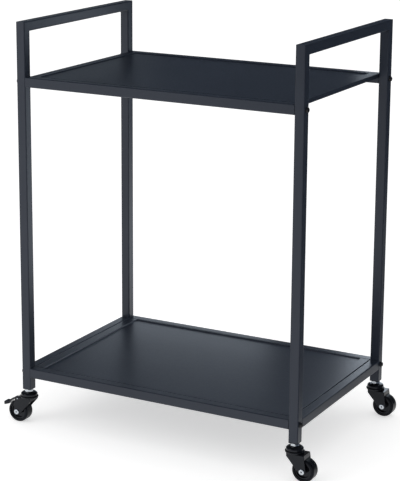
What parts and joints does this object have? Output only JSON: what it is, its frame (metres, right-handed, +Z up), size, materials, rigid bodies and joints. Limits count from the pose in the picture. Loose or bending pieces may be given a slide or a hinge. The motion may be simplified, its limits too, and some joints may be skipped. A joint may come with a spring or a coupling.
{
  "type": "kitchen trolley",
  "caption": "Open metal trolley with recessed sheet shelves between square-tube end frames, a raised push handle at each end, and swivel casters, some with a foot brake",
  "frame": {"origin": "on the floor, under the middle of the overall box with the casters and pedals as stored; the middle of the tube frame is 7.45 mm towards +X from it", "axes": "+Z up, +X from the braked left end to the right end, +Y from front to back"},
  "size_m": [0.682, 0.4176, 0.8],
  "materials": {
    "frame_paint": "satin",
    "bright_steel": "bright",
    "dark_screws": "satin",
    "tread_rubber": "semi-matte",
    "plug_plastic": "matte",
    "caster_plastic": "gloss"
  },
  "bodies": {
    "frame": {"bottom_rail_nut_blocks": "bright_steel", "bottom_shelf_back_rail": "frame_paint", "bottom_shelf_front_rail": "frame_paint", "bottom_shelf_panel": "frame_paint", "bottom_shelf_screws": "dark_screws", "left_back_caster_stem": "bright_steel", "left_back_post": "frame_paint", "left_back_post_plug": "plug_plastic", "left_back_stem_nut": "bright_steel", "left_back_swivel_head": "caster_plastic", "left_front_caster_stem": "bright_steel", "left_front_post": "frame_paint", "left_front_post_plug": "plug_plastic", "left_front_stem_nut": "bright_steel", "left_front_swivel_head": "caster_plastic", "left_handle_bar": "frame_paint", "left_side_rail": "frame_paint", "right_back_caster_stem": "bright_steel", "right_back_post": "frame_paint", "right_back_post_plug": "plug_plastic", "right_back_stem_nut": "bright_steel", "right_back_swivel_head": "caster_plastic", "right_front_caster_stem": "bright_steel", "right_front_post": "frame_paint", "right_front_post_plug": "plug_plastic", "right_front_stem_nut": "bright_steel", "right_front_swivel_head": "caster_plastic", "right_handle_bar": "frame_paint", "right_side_rail": "frame_paint", "top_rail_nut_blocks": "bright_steel", "top_shelf_back_rail": "frame_paint", "top_shelf_front_rail": "frame_paint", "top_shelf_panel": "frame_paint", "top_shelf_screws": "dark_screws"},
    "left_front_caster": {"left_front_caster_fork": "caster_plastic", "left_front_axle_rivet": "bright_steel", "left_front_thrust_washer": "bright_steel", "left_front_brake_pin": "bright_steel"},
    "left_front_wheel": {"left_front_wheel_core": "caster_plastic", "left_front_wheel_tread": "tread_rubber"},
    "left_front_pedal": {"left_front_brake_pedal": "caster_plastic"},
    "left_back_caster": {"left_back_caster_fork": "caster_plastic", "left_back_axle_rivet": "bright_steel", "left_back_thrust_washer": "bright_steel", "left_back_brake_pin": "bright_steel"},
    "left_back_wheel": {"left_back_wheel_core": "caster_plastic", "left_back_wheel_tread": "tread_rubber"},
    "left_back_pedal": {"left_back_brake_pedal": "caster_plastic"},
    "right_front_caster": {"right_front_caster_fork": "caster_plastic", "right_front_axle_rivet": "bright_steel", "right_front_thrust_washer": "bright_steel"},
    "right_front_wheel": {"right_front_wheel_core": "caster_plastic", "right_front_wheel_tread": "tread_rubber"},
    "right_back_caster": {"right_back_caster_fork": "caster_plastic", "right_back_axle_rivet": "bright_steel", "right_back_thrust_washer": "bright_steel"},
    "right_back_wheel": {"right_back_wheel_core": "caster_plastic", "right_back_wheel_tread": "tread_rubber"}
  },
  "joints": [
    {"name": "left_front_swivel", "type": "hinge", "parent": "frame", "child": "left_front_caster", "pos_m": [-0.28305, -0.1905, 0.0565], "axis": [0, 0, 1], "continuous": true},
    {"name": "left_front_wheel_spin", "type": "hinge", "parent": "left_front_caster", "child": "left_front_wheel", "pos_m": [-0.30405, -0.1905, 0.022], "axis": [0, 1, 0], "continuous": true},
    {"name": "left_front_brake", "type": "hinge", "parent": "left_front_caster", "child": "left_front_pedal", "pos_m": [-0.30255, -0.1905, 0.0494], "axis": [0, -1, 0], "range_deg": [0, 4.9]},
    {"name": "left_back_swivel", "type": "hinge", "parent": "frame", "child": "left_back_caster", "pos_m": [-0.28305, 0.1905, 0.0565], "axis": [0, 0, 1], "continuous": true},
    {"name": "left_back_wheel_spin", "type": "hinge", "parent": "left_back_caster", "child": "left_back_wheel", "pos_m": [-0.30405, 0.1905, 0.022], "axis": [0, 1, 0], "continuous": true},
    {"name": "left_back_brake", "type": "hinge", "parent": "left_back_caster", "child": "left_back_pedal", "pos_m": [-0.30255, 0.1905, 0.0494], "axis": [0, -1, 0], "range_deg": [0, 4.9]},
    {"name": "right_front_swivel", "type": "hinge", "parent": "frame", "child": "right_front_caster", "pos_m": [0.29795, -0.1905, 0.0565], "axis": [0, 0, 1], "continuous": true},
    {"name": "right_front_wheel_spin", "type": "hinge", "parent": "right_front_caster", "child": "right_front_wheel", "pos_m": [0.31895, -0.1905, 0.022], "axis": [0, 1, 0], "continuous": true},
    {"name": "right_back_swivel", "type": "hinge", "parent": "frame", "child": "right_back_caster", "pos_m": [0.29795, 0.1905, 0.0565], "axis": [0, 0, 1], "continuous": true},
    {"name": "right_back_wheel_spin", "type": "hinge", "parent": "right_back_caster", "child": "right_back_wheel", "pos_m": [0.31895, 0.1905, 0.022], "axis": [0, 1, 0], "continuous": true}
  ]
}
